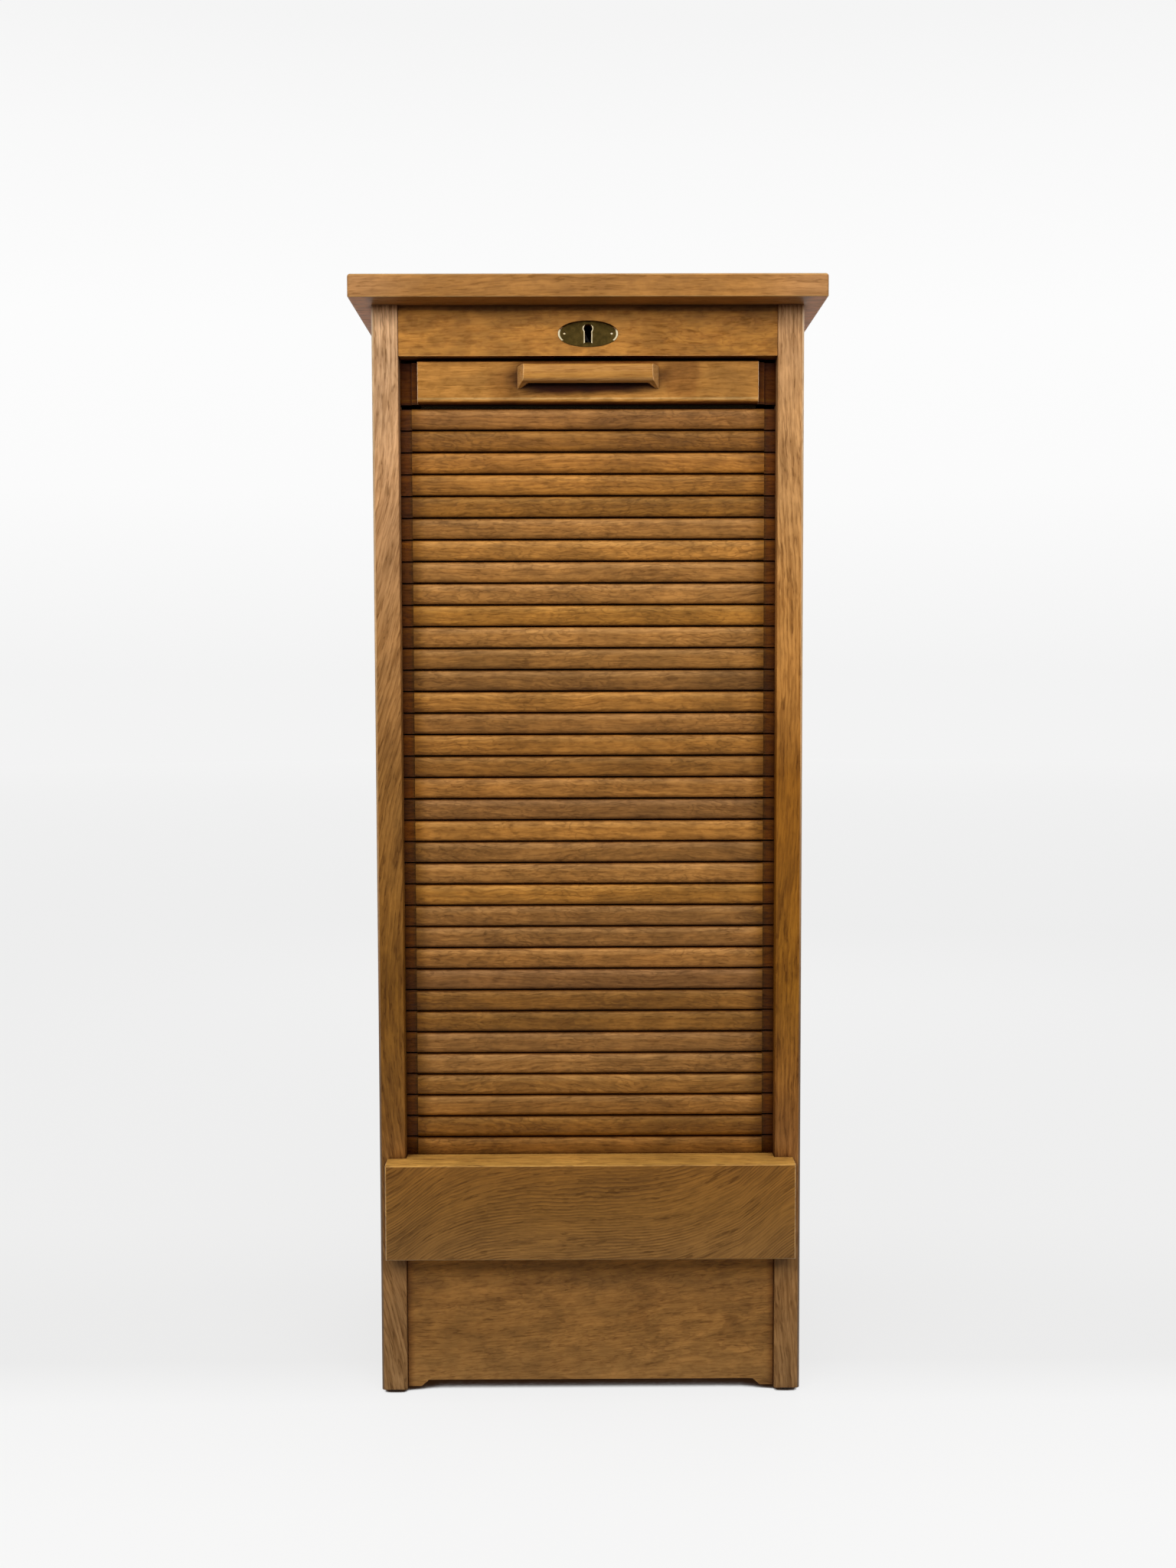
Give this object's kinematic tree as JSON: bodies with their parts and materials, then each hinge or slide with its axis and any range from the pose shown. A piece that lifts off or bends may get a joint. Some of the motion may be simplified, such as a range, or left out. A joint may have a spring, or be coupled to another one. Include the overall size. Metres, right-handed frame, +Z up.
{
  "type": "tambour door cabinet",
  "caption": "Tall narrow oak cabinet with a slatted shutter that slides down in grooves, behind a cross board, to show shelves, with a block handle and a keyhole lock.",
  "frame": {"origin": "middle of the footprint of the whole object, on the floor that its glides stand on", "axes": "+Z up, -Y towards the front where the shutter is, +X to the right as seen from the front"},
  "size_m": [0.498, 0.44, 1.2],
  "materials": {
    "oak_top": "satin",
    "oak_frame": "satin",
    "oak_slat": "satin",
    "oak_inside": "matte",
    "plywood": "matte",
    "canvas": "matte",
    "brass": "satin",
    "steel": "satin",
    "felt": "matte"
  },
  "bodies": {
    "carcase": {"top_board": "oak_top", "left_side": "oak_frame", "right_side": "oak_frame", "top_rail": "oak_frame", "cross_board": "oak_frame", "plinth_panel": "oak_frame", "cabinet_floor": "oak_inside", "shelf_1": "oak_inside", "shelf_2": "oak_inside", "false_back": "plywood", "back_panel": "plywood", "base_floor": "plywood", "glide_front_left": "felt", "glide_rear_left": "felt", "glide_front_right": "felt", "glide_rear_right": "felt", "lock_case": "steel", "escutcheon": "brass"},
    "shutter": {"lead_rail": "oak_frame", "handle": "oak_frame", "strike_plate": "brass", "slat_01": "oak_slat", "slat_02": "oak_slat", "slat_03": "oak_slat", "slat_04": "oak_slat", "slat_05": "oak_slat", "slat_06": "oak_slat", "canvas": "canvas"},
    "hook": {"hook_bolt": "steel"},
    "slat_07": {"slat_07": "oak_slat"},
    "slat_08": {"slat_08": "oak_slat"},
    "slat_09": {"slat_09": "oak_slat"},
    "slat_10": {"slat_10": "oak_slat"},
    "slat_11": {"slat_11": "oak_slat"},
    "slat_12": {"slat_12": "oak_slat"},
    "slat_13": {"slat_13": "oak_slat"},
    "slat_14": {"slat_14": "oak_slat"},
    "slat_15": {"slat_15": "oak_slat"},
    "slat_16": {"slat_16": "oak_slat"},
    "slat_17": {"slat_17": "oak_slat"},
    "slat_18": {"slat_18": "oak_slat"},
    "slat_19": {"slat_19": "oak_slat"},
    "slat_20": {"slat_20": "oak_slat"},
    "slat_21": {"slat_21": "oak_slat"},
    "slat_22": {"slat_22": "oak_slat"},
    "slat_23": {"slat_23": "oak_slat"},
    "slat_24": {"slat_24": "oak_slat"},
    "slat_25": {"slat_25": "oak_slat"},
    "slat_26": {"slat_26": "oak_slat"},
    "slat_27": {"slat_27": "oak_slat"},
    "slat_28": {"slat_28": "oak_slat"},
    "slat_29": {"slat_29": "oak_slat"},
    "slat_30": {"slat_30": "oak_slat"},
    "slat_31": {"slat_31": "oak_slat"},
    "slat_32": {"slat_32": "oak_slat"},
    "slat_33": {"slat_33": "oak_slat"},
    "slat_34": {"slat_34": "oak_slat"},
    "slat_35": {"slat_35": "oak_slat"}
  },
  "joints": [
    {"name": "shutter_slide", "type": "slide", "parent": "carcase", "child": "shutter", "axis": [0, 0, -1], "range_m": [0, 0.812], "deforming": ["slat_07", "slat_08", "slat_09", "slat_10", "slat_11", "slat_12", "slat_13", "slat_14", "slat_15", "slat_16", "slat_17", "slat_18", "slat_19", "slat_20", "slat_21", "slat_22", "slat_23", "slat_24", "slat_25", "slat_26", "slat_27", "slat_28", "slat_29", "slat_30", "slat_31", "slat_32", "slat_33", "slat_34", "slat_35"]},
    {"name": "hook_turn", "type": "hinge", "parent": "carcase", "child": "hook", "pos_m": [0.008, -0.16, 1.131], "axis": [0, -1, 0], "range_deg": [0, 90]},
    {"name": "slat_07_slide", "type": "slide", "parent": "carcase", "child": "slat_07", "axis": [0, 0, -1], "range_m": [0, 0.8011]},
    {"name": "slat_08_slide", "type": "slide", "parent": "carcase", "child": "slat_08", "axis": [0, 0, -1], "range_m": [0, 0.7783]},
    {"name": "slat_09_slide", "type": "slide", "parent": "carcase", "child": "slat_09", "axis": [0, 0, -1], "range_m": [0, 0.7554]},
    {"name": "slat_10_slide", "type": "slide", "parent": "carcase", "child": "slat_10", "axis": [0, 0, -1], "range_m": [0, 0.7326]},
    {"name": "slat_11_slide", "type": "slide", "parent": "carcase", "child": "slat_11", "axis": [0, 0, -1], "range_m": [0, 0.7098]},
    {"name": "slat_12_slide", "type": "slide", "parent": "carcase", "child": "slat_12", "axis": [0, 0, -1], "range_m": [0, 0.687]},
    {"name": "slat_13_slide", "type": "slide", "parent": "carcase", "child": "slat_13", "axis": [0, 0, -1], "range_m": [0, 0.6642]},
    {"name": "slat_14_slide", "type": "slide", "parent": "carcase", "child": "slat_14", "axis": [0, 0, -1], "range_m": [0, 0.6413]},
    {"name": "slat_15_slide", "type": "slide", "parent": "carcase", "child": "slat_15", "axis": [0, 0, -1], "range_m": [0, 0.6185]},
    {"name": "slat_16_slide", "type": "slide", "parent": "carcase", "child": "slat_16", "axis": [0, 0, -1], "range_m": [0, 0.5957]},
    {"name": "slat_17_slide", "type": "slide", "parent": "carcase", "child": "slat_17", "axis": [0, 0, -1], "range_m": [0, 0.5729]},
    {"name": "slat_18_slide", "type": "slide", "parent": "carcase", "child": "slat_18", "axis": [0, 0, -1], "range_m": [0, 0.5501]},
    {"name": "slat_19_slide", "type": "slide", "parent": "carcase", "child": "slat_19", "axis": [0, 0, -1], "range_m": [0, 0.5272]},
    {"name": "slat_20_slide", "type": "slide", "parent": "carcase", "child": "slat_20", "axis": [0, 0, -1], "range_m": [0, 0.5044]},
    {"name": "slat_21_slide", "type": "slide", "parent": "carcase", "child": "slat_21", "axis": [0, 0, -1], "range_m": [0, 0.4816]},
    {"name": "slat_22_slide", "type": "slide", "parent": "carcase", "child": "slat_22", "axis": [0, 0, -1], "range_m": [0, 0.4588]},
    {"name": "slat_23_slide", "type": "slide", "parent": "carcase", "child": "slat_23", "axis": [0, 0, -1], "range_m": [0, 0.4359]},
    {"name": "slat_24_slide", "type": "slide", "parent": "carcase", "child": "slat_24", "axis": [0, 0, -1], "range_m": [0, 0.4131]},
    {"name": "slat_25_slide", "type": "slide", "parent": "carcase", "child": "slat_25", "axis": [0, 0, -1], "range_m": [0, 0.3903]},
    {"name": "slat_26_slide", "type": "slide", "parent": "carcase", "child": "slat_26", "axis": [0, 0, -1], "range_m": [0, 0.3675]},
    {"name": "slat_27_slide", "type": "slide", "parent": "carcase", "child": "slat_27", "axis": [0, 0, -1], "range_m": [0, 0.3447]},
    {"name": "slat_28_slide", "type": "slide", "parent": "carcase", "child": "slat_28", "axis": [0, 0, -1], "range_m": [0, 0.3218]},
    {"name": "slat_29_slide", "type": "slide", "parent": "carcase", "child": "slat_29", "axis": [0, 0, -1], "range_m": [0, 0.299]},
    {"name": "slat_30_slide", "type": "slide", "parent": "carcase", "child": "slat_30", "axis": [0, 0, -1], "range_m": [0, 0.2762]},
    {"name": "slat_31_slide", "type": "slide", "parent": "carcase", "child": "slat_31", "axis": [0, 0, -1], "range_m": [0, 0.2534]},
    {"name": "slat_32_slide", "type": "slide", "parent": "carcase", "child": "slat_32", "axis": [0, 0, -1], "range_m": [0, 0.2306]},
    {"name": "slat_33_slide", "type": "slide", "parent": "carcase", "child": "slat_33", "axis": [0, 0, -1], "range_m": [0, 0.2077]},
    {"name": "slat_34_slide", "type": "slide", "parent": "carcase", "child": "slat_34", "axis": [0, 0, -1], "range_m": [0, 0.1849]},
    {"name": "slat_35_slide", "type": "slide", "parent": "carcase", "child": "slat_35", "axis": [0, 0, -1], "range_m": [0, 0.1621]}
  ],
  "couplings": [
    {"joint": "slat_07_slide", "follows": "shutter_slide", "ratio": 0.98595},
    {"joint": "slat_08_slide", "follows": "shutter_slide", "ratio": 0.95784},
    {"joint": "slat_09_slide", "follows": "shutter_slide", "ratio": 0.92974},
    {"joint": "slat_10_slide", "follows": "shutter_slide", "ratio": 0.90163},
    {"joint": "slat_11_slide", "follows": "shutter_slide", "ratio": 0.87353},
    {"joint": "slat_12_slide", "follows": "shutter_slide", "ratio": 0.84542},
    {"joint": "slat_13_slide", "follows": "shutter_slide", "ratio": 0.81732},
    {"joint": "slat_14_slide", "follows": "shutter_slide", "ratio": 0.78921},
    {"joint": "slat_15_slide", "follows": "shutter_slide", "ratio": 0.76111},
    {"joint": "slat_16_slide", "follows": "shutter_slide", "ratio": 0.733},
    {"joint": "slat_17_slide", "follows": "shutter_slide", "ratio": 0.7049},
    {"joint": "slat_18_slide", "follows": "shutter_slide", "ratio": 0.67679},
    {"joint": "slat_19_slide", "follows": "shutter_slide", "ratio": 0.64869},
    {"joint": "slat_20_slide", "follows": "shutter_slide", "ratio": 0.62058},
    {"joint": "slat_21_slide", "follows": "shutter_slide", "ratio": 0.59248},
    {"joint": "slat_22_slide", "follows": "shutter_slide", "ratio": 0.56437},
    {"joint": "slat_23_slide", "follows": "shutter_slide", "ratio": 0.53626},
    {"joint": "slat_24_slide", "follows": "shutter_slide", "ratio": 0.50816},
    {"joint": "slat_25_slide", "follows": "shutter_slide", "ratio": 0.48005},
    {"joint": "slat_26_slide", "follows": "shutter_slide", "ratio": 0.45195},
    {"joint": "slat_27_slide", "follows": "shutter_slide", "ratio": 0.42384},
    {"joint": "slat_28_slide", "follows": "shutter_slide", "ratio": 0.39574},
    {"joint": "slat_29_slide", "follows": "shutter_slide", "ratio": 0.36763},
    {"joint": "slat_30_slide", "follows": "shutter_slide", "ratio": 0.33953},
    {"joint": "slat_31_slide", "follows": "shutter_slide", "ratio": 0.31142},
    {"joint": "slat_32_slide", "follows": "shutter_slide", "ratio": 0.28332},
    {"joint": "slat_33_slide", "follows": "shutter_slide", "ratio": 0.25521},
    {"joint": "slat_34_slide", "follows": "shutter_slide", "ratio": 0.22711},
    {"joint": "slat_35_slide", "follows": "shutter_slide", "ratio": 0.199}
  ]
}
